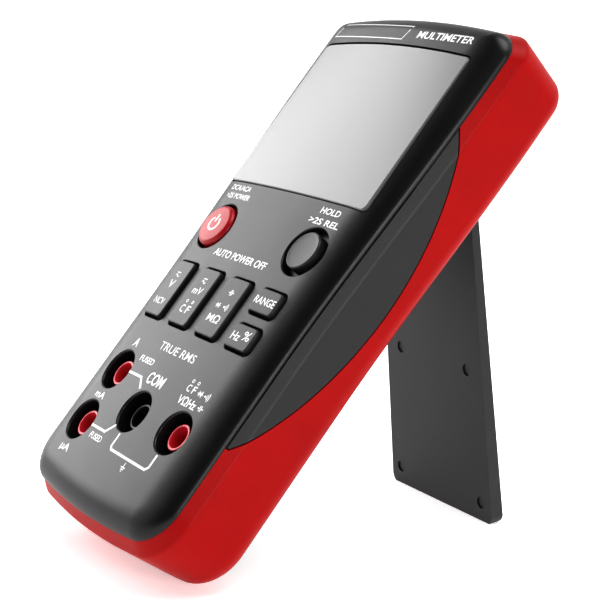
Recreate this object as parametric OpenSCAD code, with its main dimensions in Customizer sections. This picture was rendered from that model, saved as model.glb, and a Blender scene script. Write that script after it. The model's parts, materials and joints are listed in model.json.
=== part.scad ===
// Handheld digital multimeter with push buttons, leaning on its open tilt stand.
// Millimetres. The meter is drawn lying on its back: +X to its right, +Y to its top end,
// +Z out of its face, Y = 0 at its bottom end and Z = 0 on the face's centre line.
// Each node is then leaned back with place(), which stands it on Z = 0.

/* [Body] */
// Length from the bottom end to the top end
body_len = 182.2; // [176:0.2:188]
// Half of the width at the display end
top_half_w = 45.3; // [44:0.1:47]
// Half of the width at the jack end
low_half_w = 41.5; // [40.5:0.1:43]
// Where the sides start to spread, along the length
taper_start = 64; // [50:1:70]
// Where the sides stop spreading
taper_end = 164; // [150:1:170]
// Corner radius at the display end
corner_r_top = 9.3; // [8:0.1:11]
// Corner radius at the jack end
corner_r_low = 13.8; // [12:0.1:15]
// How far the top edge falls from its middle to its corners
sag_top = 2.7; // [1.5:0.1:3.5]
// How far the bottom edge rises from its middle to its corners
sag_low = 3.4; // [2:0.1:4]
// Radius of the face's crown across the width
crown_r = 482; // [440:1:600]
// Depth of the seam between the face and the bumper
seam_z = 5.1; // [4.6:0.1:5.6]
// Depth of the bumper's chamfer edge
chamfer_z = 9.7; // [9:0.1:10.5]
// Depth at which the side wall starts to round off
wall_z = 25.4; // [25:0.1:26]
// Depth of the flat back
back_z = 32.1; // [31.8:0.1:32.6]
// Extra depth of the seam along the sides
side_drop = 0.9; // [0:0.1:1.2]
// Extra depth of the side lines at the display end
line_drop = 1.1; // [0.6:0.1:1.4]
// Wall of the face
wall = 2.3; // [2:0.1:2.6]

/* [Display] */
// Half of the window's width
window_half_w = 35.8; // [35:0.1:36.4]
// Lower edge of the window
window_y0 = 111.6; // [111:0.1:113]
// Upper edge of the window at its corners
window_y1 = 165; // [162:0.1:166]
// Thickness of the window
window_t = 1.5; // [1.2:0.1:1.8]

/* [Buttons] */
// Distance between button columns
button_pitch = 16.3; // [16:0.1:16.6]
// Width of a key's hole
key_w = 12.1; // [11.8:0.1:12.4]
// Height of a tall key's hole
tall_key_h = 20.5; // [20:0.1:21]
// Height of a short key's hole
short_key_h = 8.7; // [8.4:0.1:9]
// Upper edge of the key field
keys_top_y = 81.5; // [81:0.1:82]
// Height of the two round buttons' centres
round_y = 95; // [94.6:0.1:95.6]
// Radius of a round button's hole
round_hole_r = 8; // [7.6:0.1:8.2]
// Radius of the hold button's cap
hold_cap_r = 6.1; // [6:0.1:6.8]
// Height of the hold button's cap above the face
hold_proud = 0.9; // [0.9:0.1:1.4]
// Radius of the power button's cap
power_cap_r = 7.1; // [6.8:0.1:7.3]
// Height of the power button's cap above the face
power_proud = 1.5; // [1:0.1:3]
// Travel of every button
key_travel = 0.8; // [0.5:0.1:0.9]

/* [Jacks] */
// Distance from the middle jack to the side jacks, across
jack_pitch = 22.7; // [22.4:0.1:23]
// Height of the middle and right jacks' centres
jack_y = 33.8; // [33.4:0.1:34.2]
// Height of each current jack above or below the middle one
jack_split = 8.9; // [8.7:0.1:9.2]
// Inner radius of a jack well
well_r = 6.45; // [6.3:0.05:6.6]
// Depth of a jack well
well_z = 19.5; // [18:0.1:20]
// Bore radius of the metal sleeve for a 4 mm plug
sleeve_bore_r = 2.03; // [2.02:0.01:2.1]

/* [Tilt stand] */
// Height of the hinge along the body
hinge_y = 148.25; // [147:0.05:149]
// Depth of the hinge
hinge_z = 28.5; // [28:0.1:29]
// Opening angle of the stand
stand_open = 46.8; // [44:0.1:48]
// Length from the hinge to the foot
stand_len = 115.1; // [113:0.1:116]
// Half of the stand's width at the hinge
stand_half_w0 = 22.4; // [21:0.1:23]
// Half of the stand's width at the foot
stand_half_w1 = 26.1; // [25:0.1:26.6]
// Angle of the body above the surface it rests on
lean = 51.2; // [51:0.1:51.4]
// Height of the body's reference corner above the surface
rest_h = 15.85; // [15.8:0.01:15.9]
// Shift that centres the whole object front to back
shift_y = -71.19; // [-72:0.01:-70]

/* [Hidden] */
$fn = 48;

case_black = "#2b2b2d";
bumper_red = "#c8100c";
grip_grey = "#4a4949";

// Insets of the seam, of the case inside the bumper and of the back panel: side, top, bottom
seam_in = [1.9, 3.4, 2.9];
case_in = [2.8, 5.6, 5.2];
back_in = [9.1, 11.1, 11.1];
wall_in = [0, 1.6, 1.6];
// Width of the face's rolled edge: side, top, bottom
roll_w = [11.4, 7, 8];
case_wall = 2;
roll_power = 2;
roll_steps = 6;
back_r = back_z - wall_z;
split_z = 15;
lip_z = 27;
grip_depth = 1.5;
grip_gap = 0.35;
grip_mid_y = 91.6;
grip_arc_r = 98.9;
grip_floor_z = 23;
grip_y0 = 37.6;
grip_y1 = 145.5;

// Outline resolution
edge_steps = 5;
corner_steps = 7;
side_steps = 15;
crown_steps = 5;

// Boards
board_z = 13;
board_t = 1.6;
input_z = 21.5;

// Recess for the stand in the back, and the battery compartment
recess_z = 29.6;
recess_floor_t = 2.2;
recess_half_w = 27.6;
recess_y0 = 31.6;
recess_y1 = 153;
recess_rim = 2;
hinge_half_w = 23.9;
pocket_z = 25;
cell_r = 5.2;
cell_len = 44.3;
cell_pitch = 10.8;
cell_z = 22.6;
bay_half_w = 22.2;
bay_y0 = 62.4;
bay_y1 = 112;
bay_roof_z = 17.2;
contact_t = 0.4;
door_t = 1.6;
door_gap = 0.2;
door_rim = 1.4;
door_tab_half_w = 5;
door_tab_len = 7;
door_screw_y = 117;

// Display stack
lcd_z = 6.4;
lcd_t = 2.8;
lcd_half_w = 36.2;
lcd_y0 = 109.4;
lcd_y1 = 168;
frame_z = lcd_z + lcd_t + 0.05;
frame_half_w = 36.9;
frame_y0 = 108;
frame_y1 = 169.6;
zebra_w = 2.2;
zebra_lower_y = lcd_y0 + 0.4;
zebra_upper_y = lcd_y1 - 0.4 - zebra_w;
light_y0 = zebra_lower_y + zebra_w + 1;
light_y1 = zebra_upper_y - 1;
light_t = 2.4;

// Board outlines
board_half_w = 36;
board_y0 = 59.8;
board_y1 = 172;
tongue_half_w = 8.5;
tongue_y0 = 46.6;
input_half_w = 31.5;
input_y0 = 10.6;
input_y1 = 52;
input_neck_half_w = 22.8;
input_neck_y = 20.2;
header_y0 = 47.4;
header_y1 = 50.4;
board_screw_at = [[0, 55.5], [-33, 85.8], [33, 85.8], [-33, 105], [33, 105]];
board_screw_r = 1.1;
board_boss_r = 2.4;
board_boss_z = 3;

// Fuses lie across the input board, below the jacks
fuse_len = 30;
fuse_r = 3.1;
fuse_cap_len = 5;
fuse_z = input_z - fuse_r - 0.7;
fuse_x0 = -13;
fuse_y = [14.6, 22];
clip_t = 0.5;

// Screws through the back into the face's bosses
case_screw_at = [[-28, 15.4], [28, 15.4], [-19, 55.5], [19, 55.5]];
screw_r = 1.4;
screw_head_r = 2.7;
screw_head_h = 2;
screw_seat_z = 20;
boss_r = 3.4;

// Stand section
plate_t = 2;
rim_t = 1.8;
rim_h0 = 2.3;
rim_h1 = 4.6;
stand_clear = 0.2;
stand_n0 = recess_z + stand_clear - hinge_z;
knuckle_r = 2.2;
pin_r = 1.2;
pin_clear = 0.06;
pin_half_len = 28;

// Jack sizes
collar_r = 4.15;
collar_bore_r = 3.05;
collar_top_z = 2.7;
sleeve_r = 3;
sleeve_top_z = 8;
sleeve_end_z = 25;
well_wall = 1.4;
well_floor_t = 1.8;
well_top_z = 1.8;

// Button sizes
cap_gap = 0.65;
cap_proud = 1.2;
flange_z = 3.4;
flange_t = 1;
flange_w = 1;
key_corner_r = 1.8;
stem_r = 2.2;
switch_half = 3;
switch_h = 3.5;
plunger_r = 1.6;
plunger_top = 1.2;
plunger_deep = 1.2;

jack_a = [-jack_pitch, jack_y + jack_split];
jack_ma = [-jack_pitch, jack_y - jack_split];
jack_com = [0, jack_y];
jack_v = [jack_pitch, jack_y];
jacks = [jack_a, jack_ma, jack_com, jack_v];

tall_y = keys_top_y - tall_key_h / 2;
range_y = keys_top_y - short_key_h / 2;
hertz_y = keys_top_y - tall_key_h + short_key_h / 2;
power_at = [-1.5 * button_pitch, round_y];
hold_at = [1.5 * button_pitch, round_y];
volts_at = [-1.5 * button_pitch, tall_y];
millivolts_at = [-0.5 * button_pitch, tall_y];
ohms_at = [0.5 * button_pitch, tall_y];
range_at = [1.5 * button_pitch, range_y];
hertz_at = [1.5 * button_pitch, hertz_y];
buttons_at = [power_at, hold_at, volts_at, millivolts_at, ohms_at, range_at, hertz_at];

// ---- outline functions ----

function ease(t) = let (c = max(0, min(1, t))) c * c * (3 - 2 * c);
function spread(y) = ease((y - taper_start) / (taper_end - taper_start));
function half_w(y) = low_half_w + (top_half_w - low_half_w) * spread(y);
function drop(y) = line_drop * spread(y);
function crown(x) = -x * x / (2 * crown_r);
function mix(a, b, t) = a + (b - a) * t;
function arc(cx, cy, r, a0, a1, n) =
    [for (i = [0:n]) let (a = mix(a0, a1, i / n)) [cx + r * cos(a), cy + r * sin(a)]];

// Right half of the plain outline, from the bottom's middle round to the top's middle,
// moved in by in = [side, top, bottom]
function plain_half(in) = let (
    w = top_half_w - in[0],
    y1 = body_len - in[1],
    y0 = in[2],
    rt = max(corner_r_top - in[0], 1),
    rb = max(corner_r_low - in[0], 1)
) concat(
    [for (i = [0:edge_steps - 1]) [(w - rb) * i / edge_steps, y0]],
    arc(w - rb, y0 + rb, rb, -90, 0, corner_steps),
    [for (i = [1:side_steps - 1]) [w, mix(y0 + rb, y1 - rt, i / side_steps)]],
    arc(w - rt, y1 - rt, rt, 0, 90, corner_steps),
    [for (i = [1:edge_steps]) [(w - rt) * (1 - i / edge_steps), y1]]
);

// The plain outline with its ends bowed and its sides spread
function bowed(p, in) = let (
    u = p.x / top_half_w,
    v = (p.y - body_len / 2) / (body_len / 2),
    bow = v > 0 ? -sag_top * ease(2 * v - 1) : sag_low * ease(-2 * v - 1)
) [p.x * (half_w(p.y) - in[0]) / (top_half_w - in[0]), p.y + bow * u * u];
function half_outline(in) = [for (p = plain_half(in)) bowed(p, in)];

// One level of a loft, at depth z, with a share of the lines' drop
function level(in, z, share = 0) = [for (p = half_outline(in)) [p.x, p.y, -z - share * drop(p.y)]];

// Height of the seam, and a level that follows it
function seam_height(p, z) = -z - drop(p.y) - side_drop * pow(p.x / half_w(p.y), 2);
function seam_level(in, z) = [for (p = half_outline(in)) [p.x, p.y, seam_height(p, z)]];

// Levels of the rolled edge of the face, from the seam up to the crown
function rolled(base, z, cut) = [
    for (i = [0:roll_steps])
        let (
            t = pow(i / roll_steps, 1.5),
            q = pow(1 - pow(1 - t, roll_power), 1 / roll_power),
            in = [for (k = [0:2]) base[k] + (roll_w[k] - cut) * t]
        )
        [for (p = half_outline(in)) [p.x, p.y, mix(seam_height(p, z), crown(p.x) - cut, q)]]
];

// ---- lofts ----

function ring_of(half) = let (m = len(half) - 1)
    concat(half, [for (i = [m - 1:-1:1]) [-half[i].x, half[i].y, half[i].z]]);

function crown_point(p, j, z_shift) = let (x = p.x * (1 - j / crown_steps))
    [x, p.y, crown(x) + z_shift];

// Solid through a list of levels, from the deepest to the highest. With crowned = true the
// last level carries the crown across the face.
module loft(levels, crowned = false, z_shift = 0) {
    m = len(levels[0]) - 1;
    n = 2 * m;
    k = len(levels);
    c2 = 2 * crown_steps;
    top = (k - 1) * n;
    inner = k * n;
    rings = [for (l = levels) each ring_of(l)];
    middle = crowned
        ? [for (i = [1:m - 1]) for (j = [1:c2 - 1]) crown_point(levels[k - 1][i], j, z_shift)]
        : [];
    function at_low(i) = [i, n - i];
    function at_top(i, j) = j == 0 ? top + i
        : j == c2 ? top + n - i
        : inner + (i - 1) * (c2 - 1) + j - 1;
    sides = [for (r = [0:k - 2]) for (j = [0:n - 1]) let (
        a = r * n + j,
        b = r * n + (j + 1) % n
    ) each [[a, a + n, b + n], [a, b + n, b]]];
    low_cap = [for (i = [1:m - 2]) each [[i, i + 1, n - i - 1], [i, n - i - 1, n - i]]];
    low_ends = [[0, 1, n - 1], [m - 1, m, m + 1]];
    flat_cap = [for (i = [1:m - 2]) each [
        [top + i, top + n - i - 1, top + i + 1],
        [top + i, top + n - i, top + n - i - 1]
    ]];
    flat_ends = [[top, top + n - 1, top + 1], [top + m - 1, top + m + 1, top + m]];
    crown_cap = [for (i = [1:m - 2]) for (j = [0:c2 - 1]) each [
        [at_top(i, j), at_top(i, j + 1), at_top(i + 1, j + 1)],
        [at_top(i, j), at_top(i + 1, j + 1), at_top(i + 1, j)]
    ]];
    crown_ends = [for (j = [0:c2 - 1]) each [
        [top, at_top(1, j + 1), at_top(1, j)],
        [at_top(m - 1, j), at_top(m - 1, j + 1), top + m]
    ]];
    polyhedron(
        points = concat(rings, middle),
        faces = concat(sides, low_cap, low_ends,
            crowned ? concat(crown_cap, crown_ends) : concat(flat_cap, flat_ends)),
        convexity = 6
    );
}

// Upright prism of the outline between two depths
module slab(in, z0, z1) {
    loft([level(in, z1), level(in, z0)]);
}

// ---- helpers ----

// Leans a node back and stands it on the surface
module place() {
    translate([0, shift_y, rest_h])
        rotate([lean, 0, 0])
            children();
}

// Upright cylinder between two depths
module post(at, r, z0, z1) {
    translate([at.x, at.y, -z1])
        cylinder(r = r, h = z1 - z0);
}

// Box between two depths
module block(x0, x1, y0, y1, z0, z1) {
    translate([x0, y0, -z1])
        cube([x1 - x0, y1 - y0, z1 - z0]);
}

// Rectangle with round corners, centred
module round_rect(w, h, r) {
    square([w - 2 * r, h], center = true);
    square([w, h - 2 * r], center = true);
    for (x = [-1, 1])
        for (y = [-1, 1])
            translate([x * (w / 2 - r), y * (h / 2 - r)])
                circle(r = r);
}

// Everything under the crown at the given depth below it
module under_crown(cut) {
    translate([0, -50, -crown_r - cut])
        rotate([-90, 0, 0])
            cylinder(r = crown_r, h = body_len + 100, $fn = 360);
}

// ---- case ----

module window_shape(grow) {
    y0 = window_y0 - grow;
    y1 = window_y1 + grow;
    w = window_half_w + grow;
    translate([0, (y0 + y1) / 2])
        round_rect(2 * w, y1 - y0, 1.6);
    intersection() {
        translate([0, y1 - w * w / 2.4 + 0.6])
            circle(r = w * w / 2.4 + 0.6, $fn = 240);
        translate([-w, y1 - 2])
            square([2 * w, 4]);
    }
}

module button_hole(at, size) {
    flange = size / 2 + [flange_w + 0.4, flange_w + 0.4];
    translate([at.x, at.y, -6])
        linear_extrude(8)
            round_rect(size.x, size.y, key_corner_r);
    block(at.x - flange.x, at.x + flange.x, at.y - flange.y, at.y + flange.y, flange_z - 0.3, 9);
}

module front_shell() {
    difference() {
        loft(concat(
            [level(case_in, split_z), seam_level(case_in, seam_z)],
            rolled(seam_in, seam_z, 0)
        ), true);
        loft(concat(
            [level([for (b = case_in) b + case_wall], split_z + 1)],
            rolled([for (b = case_in) b + case_wall], seam_z + wall, wall)
        ), true, -wall);
    }
}

module front_case() {
    color(case_black)
        place()
            difference() {
                union() {
                    front_shell();
                    for (s = case_screw_at)
                        post(s, boss_r, 2, split_z - 0.1);
                    for (s = board_screw_at)
                        post(s, board_boss_r, s.x == 0 ? wall / 2 : board_boss_z, board_z - 0.05);
                }
                for (j = jacks) {
                    post(j, well_r, -2, 6);
                    post(j, well_r + well_wall + 0.08, well_top_z - 0.05, split_z + 1);
                }
                for (s = board_screw_at)
                    post(s, board_screw_r + 0.02, board_z - 5, board_z + 1);
                for (s = case_screw_at)
                    post(s, screw_r + 0.02, 6, 20);
                translate([0, 0, -8])
                    linear_extrude(12)
                        window_shape(-1.4);
                difference() {
                    translate([0, 0, -8])
                        linear_extrude(12)
                            window_shape(0.1);
                    under_crown(window_t + 0.1);
                }
                for (b = [power_at, hold_at]) {
                    post(b, round_hole_r, -2, 6);
                    post(b, round_hole_r + flange_w + 0.4, flange_z - 0.3, 9);
                }
                for (b = [volts_at, millivolts_at, ohms_at])
                    button_hole(b, [key_w, tall_key_h]);
                for (b = [range_at, hertz_at])
                    button_hole(b, [key_w, short_key_h]);
            }
}

// The recess narrows towards the hinge, where a deeper pocket takes the knuckle
module stand_recess() {
    translate([0, 0, -back_z - 1])
        linear_extrude(back_z + 1 - recess_z)
            polygon([
                [-recess_half_w, recess_y0],
                [recess_half_w, recess_y0],
                [hinge_half_w, recess_y1],
                [-hinge_half_w, recess_y1]
            ]);
    block(-hinge_half_w, hinge_half_w, hinge_y - 4, recess_y1, pocket_z, back_z + 1);
}

// Outer shape of the rear case: the part inside the bumper and the raised back panel
module rear_block() {
    slab([for (b = case_in) b + 0.05], split_z + 0.05, lip_z - 0.1);
    slab(back_in, lip_z - 1, back_z);
}

module rear_case() {
    tray_half_w = recess_half_w + recess_rim;
    door_y0 = bay_y0 - door_rim;
    door_y1 = bay_y1 + door_rim;
    door_half_w = bay_half_w + door_rim;
    color(case_black)
        place()
            difference() {
                union() {
                    difference() {
                        rear_block();
                        slab([for (b = case_in) b + case_wall], split_z - 1, lip_z - 2.5);
                        slab([for (b = back_in) b + case_wall], split_z, back_z - wall);
                    }
                    block(-tray_half_w, tray_half_w, recess_y0 - recess_rim,
                        recess_y1 + recess_rim, recess_z - recess_floor_t, back_z);
                    block(-tray_half_w, tray_half_w, hinge_y - 4 - recess_rim,
                        recess_y1 + recess_rim, pocket_z - recess_rim, back_z);
                    block(-door_half_w, door_half_w, door_y0, door_y1,
                        bay_roof_z - 1.5, recess_z);
                    post([0, door_screw_y], boss_r, bay_roof_z, recess_z);
                    for (s = case_screw_at)
                        intersection() {
                            post(s, boss_r + 0.4, split_z + 0.05, back_z - 1);
                            rear_block();
                        }
                }
                for (j = jacks)
                    post(j, well_r + well_wall + 0.08, split_z - 1, well_z + well_floor_t + 0.1);
                stand_recess();
                block(-bay_half_w, bay_half_w, bay_y0, bay_y1, bay_roof_z, back_z);
                battery_door_shape(door_gap, 1);
                post([0, door_screw_y], screw_r + 0.02, bay_roof_z + 1, back_z);
                for (s = case_screw_at) {
                    post(s, screw_r + 0.3, split_z - 1, back_z + 1);
                    post(s, screw_head_r + 0.3, screw_seat_z, back_z + 1);
                }
                translate([-pin_half_len - 0.3, hinge_y, -hinge_z])
                    rotate([0, 90, 0])
                        cylinder(r = pin_r + pin_clear, h = 2 * pin_half_len + 0.6);
            }
}

module bumper_skin(cut) {
    in0 = [for (s = seam_in) s + cut];
    in1 = [cut, cut, cut];
    in2 = [for (w = wall_in) w + cut];
    arc_in = function (a) [for (w = in2) w + (back_r) * (1 - cos(a))];
    loft([
        level(arc_in(90), back_z),
        level(arc_in(67), wall_z + back_r * sin(67), 0.1),
        level(arc_in(45), wall_z + back_r * sin(45), 0.3),
        level(arc_in(22), wall_z + back_r * sin(22), 0.6),
        level(in2, wall_z, 0.9),
        level(in1, chamfer_z, 1),
        seam_level(in0, seam_z + 0.06)
    ]);
}

// Lens shape of the side grips, seen from the side
module grip_prism(gap) {
    top_z = 2;
    rotate([90, 0, 90])
        linear_extrude(60)
            intersection() {
                translate([grip_mid_y, grip_arc_r - grip_floor_z])
                    circle(r = grip_arc_r - gap, $fn = 180);
                translate([grip_y0 + gap, -grip_floor_z - 2])
                    square([grip_y1 - grip_y0 - 2 * gap, grip_floor_z + top_z]);
            }
}

module bumper() {
    color(bumper_red)
        place()
            difference() {
                bumper_skin(0);
                slab([for (b = case_in) b - 0.05], -1, lip_z);
                slab([for (b = back_in) b - 0.1], 0, back_z + 1);
                for (side = [0, 1])
                    mirror([side, 0, 0])
                        difference() {
                            grip_prism(0);
                            bumper_skin(grip_depth);
                        }
                rest_cut();
            }
}

// The half-space below the surface that the meter rests on, in the meter's own frame
module rest_cut() {
    rotate([-lean, 0, 0])
        translate([-100, -100, -rest_h - 60])
            cube([200, 400, 60]);
}

module grip(side) {
    color(grip_grey)
        place()
            mirror([side, 0, 0])
                difference() {
                    intersection() {
                        bumper_skin(0);
                        grip_prism(grip_gap);
                    }
                    bumper_skin(grip_depth - 0.05);
                    slab([for (b = case_in) b - 0.05], -1, lip_z);
                    loft([seam_level([0, 0, 0], seam_z + 0.3), level([0, 0, 0], -5)]);
                }
}

// ---- display ----

module lcd_window() {
    color("#c9cccb")
        place()
            intersection() {
                translate([0, 0, -8])
                    linear_extrude(12)
                        window_shape(0);
                difference() {
                    under_crown(0);
                    under_crown(window_t);
                }
            }
}

module lcd_glass() {
    color("#b9c1b6")
        place()
            block(-lcd_half_w, lcd_half_w, lcd_y0, lcd_y1, lcd_z, lcd_z + lcd_t);
}

module lcd_frame() {
    color("#e8e8e4")
        place()
            difference() {
                block(-frame_half_w, frame_half_w, frame_y0, frame_y1, frame_z, board_z - 0.05);
                block(2 - frame_half_w, frame_half_w - 2, light_y0, light_y1,
                    frame_z - 1, frame_z + light_t + 0.1);
                block(6 - frame_half_w, frame_half_w - 6, light_y0 + 3, light_y1 - 3,
                    frame_z - 1, board_z + 1);
                for (y = [zebra_lower_y, zebra_upper_y])
                    block(1.7 - frame_half_w, frame_half_w - 1.7, y - 0.1, y + zebra_w + 0.1,
                        frame_z - 1, board_z + 1);
            }
}

module backlight_panel() {
    color("#f4f6f2")
        place()
            block(2.1 - frame_half_w, frame_half_w - 2.1, light_y0 + 0.1, light_y1 - 0.1,
                frame_z + 0.05, frame_z + light_t);
}

module zebra_strip(y) {
    color("#d98fa0")
        place()
            block(1.8 - frame_half_w, frame_half_w - 1.8, y, y + zebra_w, frame_z, board_z);
}

module zebra_strip_lower() {
    zebra_strip(zebra_lower_y);
}

module zebra_strip_upper() {
    zebra_strip(zebra_upper_y);
}

// ---- boards ----

module main_board() {
    color("#1f6b3a")
        place()
            difference() {
                union() {
                    block(-board_half_w, board_half_w, board_y0, board_y1, board_z, board_z + board_t);
                    block(-tongue_half_w, tongue_half_w, tongue_y0, board_y0 + 1,
                        board_z, board_z + board_t);
                }
                for (s = case_screw_at)
                    post(s, boss_r + 0.6, board_z - 1, board_z + 3);
                for (s = board_screw_at)
                    post(s, board_screw_r + 0.05, board_z - 1, board_z + 3);
            }
}

module input_board() {
    color("#1f6b3a")
        place()
            difference() {
                union() {
                    block(-input_half_w, input_half_w, input_neck_y, input_y1,
                        input_z, input_z + board_t);
                    block(-input_neck_half_w, input_neck_half_w, input_y0, input_neck_y + 1,
                        input_z, input_z + board_t);
                }
                for (j = jacks)
                    post(j, sleeve_r + 0.05, input_z - 1, input_z + 3);
            }
}

module board_header() {
    pins = 6;
    pin_pitch = 2.54;
    pin_r = 0.4;
    color("#202020")
        place() {
            block(-tongue_half_w + 0.5, tongue_half_w - 0.5, header_y0, header_y1,
                board_z + board_t, input_z);
            for (i = [0:pins - 1])
                post([(i - (pins - 1) / 2) * pin_pitch, header_y0 - 0.3], pin_r,
                    board_z + board_t, input_z);
        }
}

// Flat chip with legs along two sides
module chip(x, y, w, h, t, legs) {
    leg_w = 0.5;
    leg_out = 1.1;
    leg_t = 0.9;
    leg_pitch = (h - 2) / (legs - 1);
    z0 = board_z + board_t;
    block(x - w / 2, x + w / 2, y - h / 2, y + h / 2, z0, z0 + t);
    for (side = [-1, 1])
        for (i = [0:legs - 1])
            translate([x + side * (w + leg_out) / 2, y - h / 2 + 1 + i * leg_pitch, -z0 - leg_t / 2])
                cube([leg_out + 0.2, leg_w, leg_t], center = true);
}

module meter_chip() {
    color("#1b1b1d")
        place()
            chip(0, 148, 14, 14, 1.8, 12);
}

module controller_chip() {
    color("#1b1b1d")
        place()
            chip(0, 124, 8, 10, 1.6, 8);
}

module buzzer() {
    at = [24, 160];
    z0 = board_z + board_t;
    color("#161616")
        place()
            difference() {
                post(at, 6, z0, z0 + 6);
                post(at, 1, z0 + 3, z0 + 7);
            }
}

// ---- input protection ----

module fuse(y, body_color) {
    place()
        translate([fuse_x0, y, -fuse_z])
            rotate([0, 90, 0])
                color(body_color)
                    union() {
                        cylinder(r = fuse_r - 0.25, h = fuse_len);
                        for (s = [0, fuse_len - fuse_cap_len])
                            translate([0, 0, s])
                                cylinder(r = fuse_r, h = fuse_cap_len);
                    }
}

module fuse_a() {
    fuse(fuse_y[0], "#e9e4d8");
}

module fuse_ma() {
    fuse(fuse_y[1], "#dfe6e6");
}

module fuse_clips() {
    w = fuse_cap_len - 1.4;
    r = fuse_r + 0.03;
    color("#c8b87a")
        place()
            for (y = fuse_y)
                for (x = [fuse_x0 + 0.7, fuse_x0 + fuse_len - fuse_cap_len + 0.7])
                    difference() {
                        block(x, x + w, y - r - clip_t, y + r + clip_t, fuse_z - 1.4, input_z);
                        translate([x - 1, y, -fuse_z])
                            rotate([0, 90, 0])
                                cylinder(r = r, h = w + 2);
                        block(x - 1, x + w + 1, y - r + 0.6, y + r - 0.6, fuse_z - 3, fuse_z);
                    }
}

module current_shunt() {
    wire_r = 0.8;
    bend_r = 2.9;
    y = 47.4;
    x = -12;
    bend_z = input_z - 3;
    color("#b4703c")
        place() {
            translate([x, y, -bend_z])
                rotate([90, 0, 90])
                    rotate_extrude(angle = 180)
                        translate([bend_r, 0])
                            circle(r = wire_r);
            for (s = [-1, 1])
                post([x, y + s * bend_r], wire_r, bend_z, input_z);
        }
}

module disc_part(x, y, r, t) {
    place()
        translate([x, y + t / 2, -input_z + r])
            rotate([90, 0, 0])
                cylinder(r = r, h = t);
}

module varistors() {
    color("#2f5f9a")
        for (x = [15, 26])
            disc_part(x, 47, 4.4, 3.4);
}

module ptc_resistor() {
    color("#8a5a2a")
        disc_part(27.5, 22, 3, 2.4);
}

// ---- keys ----

module key_switches() {
    color("#2a2a2a")
        place()
            for (b = buttons_at)
                difference() {
                    block(b.x - switch_half, b.x + switch_half, b.y - switch_half, b.y + switch_half,
                        board_z - switch_h, board_z);
                    post(b, plunger_r + 0.08, board_z - switch_h - 1,
                        board_z - switch_h + plunger_deep + key_travel + 0.3);
                }
}

module plunger(at) {
    color("#d8d4c8")
        place()
            post(at, plunger_r, board_z - switch_h - plunger_top, board_z - switch_h + plunger_deep);
}

module key_stem(at) {
    post(at, stem_r, flange_z, board_z - switch_h - plunger_top);
}

module round_button(at, cap_r, proud, body_color) {
    dish_r = 60;
    color(body_color)
        place()
            difference() {
                union() {
                    post(at, cap_r, -crown(at.x) - proud, flange_z + flange_t / 2);
                    post(at, round_hole_r + flange_w, flange_z, flange_z + flange_t);
                    key_stem(at);
                }
                translate([at.x, at.y, crown(at.x) + proud + dish_r - 0.35])
                    sphere(r = dish_r, $fn = 96);
            }
}

module key_button(at, h) {
    w = key_w - 2 * cap_gap;
    color("#4c4c4e")
        place() {
            translate([at.x, at.y, -flange_z - flange_t / 2])
                linear_extrude(flange_z + flange_t / 2 + crown(at.x) + cap_proud)
                    round_rect(w, h - 2 * cap_gap, key_corner_r - 0.5);
            block(at.x - key_w / 2 - flange_w, at.x + key_w / 2 + flange_w,
                at.y - h / 2 - flange_w, at.y + h / 2 + flange_w, flange_z, flange_z + flange_t);
            key_stem(at);
        }
}

module power_button() {
    round_button(power_at, power_cap_r, power_proud, "#b3202c");
}

module hold_button() {
    round_button(hold_at, hold_cap_r, hold_proud, "#4c4c4e");
}

module volts_button() {
    key_button(volts_at, tall_key_h);
}

module millivolts_button() {
    key_button(millivolts_at, tall_key_h);
}

module ohms_button() {
    key_button(ohms_at, tall_key_h);
}

module range_button() {
    key_button(range_at, short_key_h);
}

module hertz_button() {
    key_button(hertz_at, short_key_h);
}

// ---- jacks ----

module jack_wells() {
    color(case_black)
        place()
            for (j = jacks)
                difference() {
                    post(j, well_r + well_wall, well_top_z, well_z + well_floor_t);
                    post(j, well_r, well_top_z - 1, well_z);
                    post(j, collar_bore_r, well_z - 1, well_z + well_floor_t + 1);
                }
}

module jack_collar(at, body_color) {
    base_r = well_r - 0.1;
    color(body_color)
        place()
            difference() {
                union() {
                    post(at, collar_r, collar_top_z, well_z);
                    post(at, base_r, well_z - 1.6, well_z);
                }
                post(at, collar_bore_r, collar_top_z - 1, well_z + 1);
            }
}

module jack_sleeve(at) {
    color("#c7a94e")
        place()
            difference() {
                union() {
                    post(at, sleeve_r, sleeve_top_z, sleeve_end_z);
                    post(at, sleeve_r + 0.9, well_z + well_floor_t, well_z + well_floor_t + 0.15);
                }
                post(at, sleeve_bore_r, sleeve_top_z - 1, sleeve_end_z - 1);
            }
}

// ---- battery bay ----

module battery_door_shape(gap, proud) {
    half_w = bay_half_w + door_rim - 0.4 + gap;
    y0 = bay_y0 - door_rim + 0.4 - gap;
    y1 = bay_y1 + door_rim - 0.4 + gap;
    tab = door_tab_half_w + gap;
    block(-half_w, half_w, y0, y1, recess_z - door_t - gap / 2, recess_z + proud);
    block(-tab, tab, y1 - 1, y1 + door_tab_len, recess_z - door_t - gap / 2, recess_z + proud);
}

module battery_door() {
    color(case_black)
        place()
            difference() {
                battery_door_shape(0, 0);
                post([0, door_screw_y], screw_r + 0.3, bay_roof_z, back_z);
                post([0, door_screw_y], screw_head_r + 0.2, recess_z - 0.9, back_z);
                for (i = [0:5])
                    block(-8, 8, bay_y0 + 4 + 2 * i, bay_y0 + 4.9 + 2 * i, recess_z - 0.4, back_z);
            }
}

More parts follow.
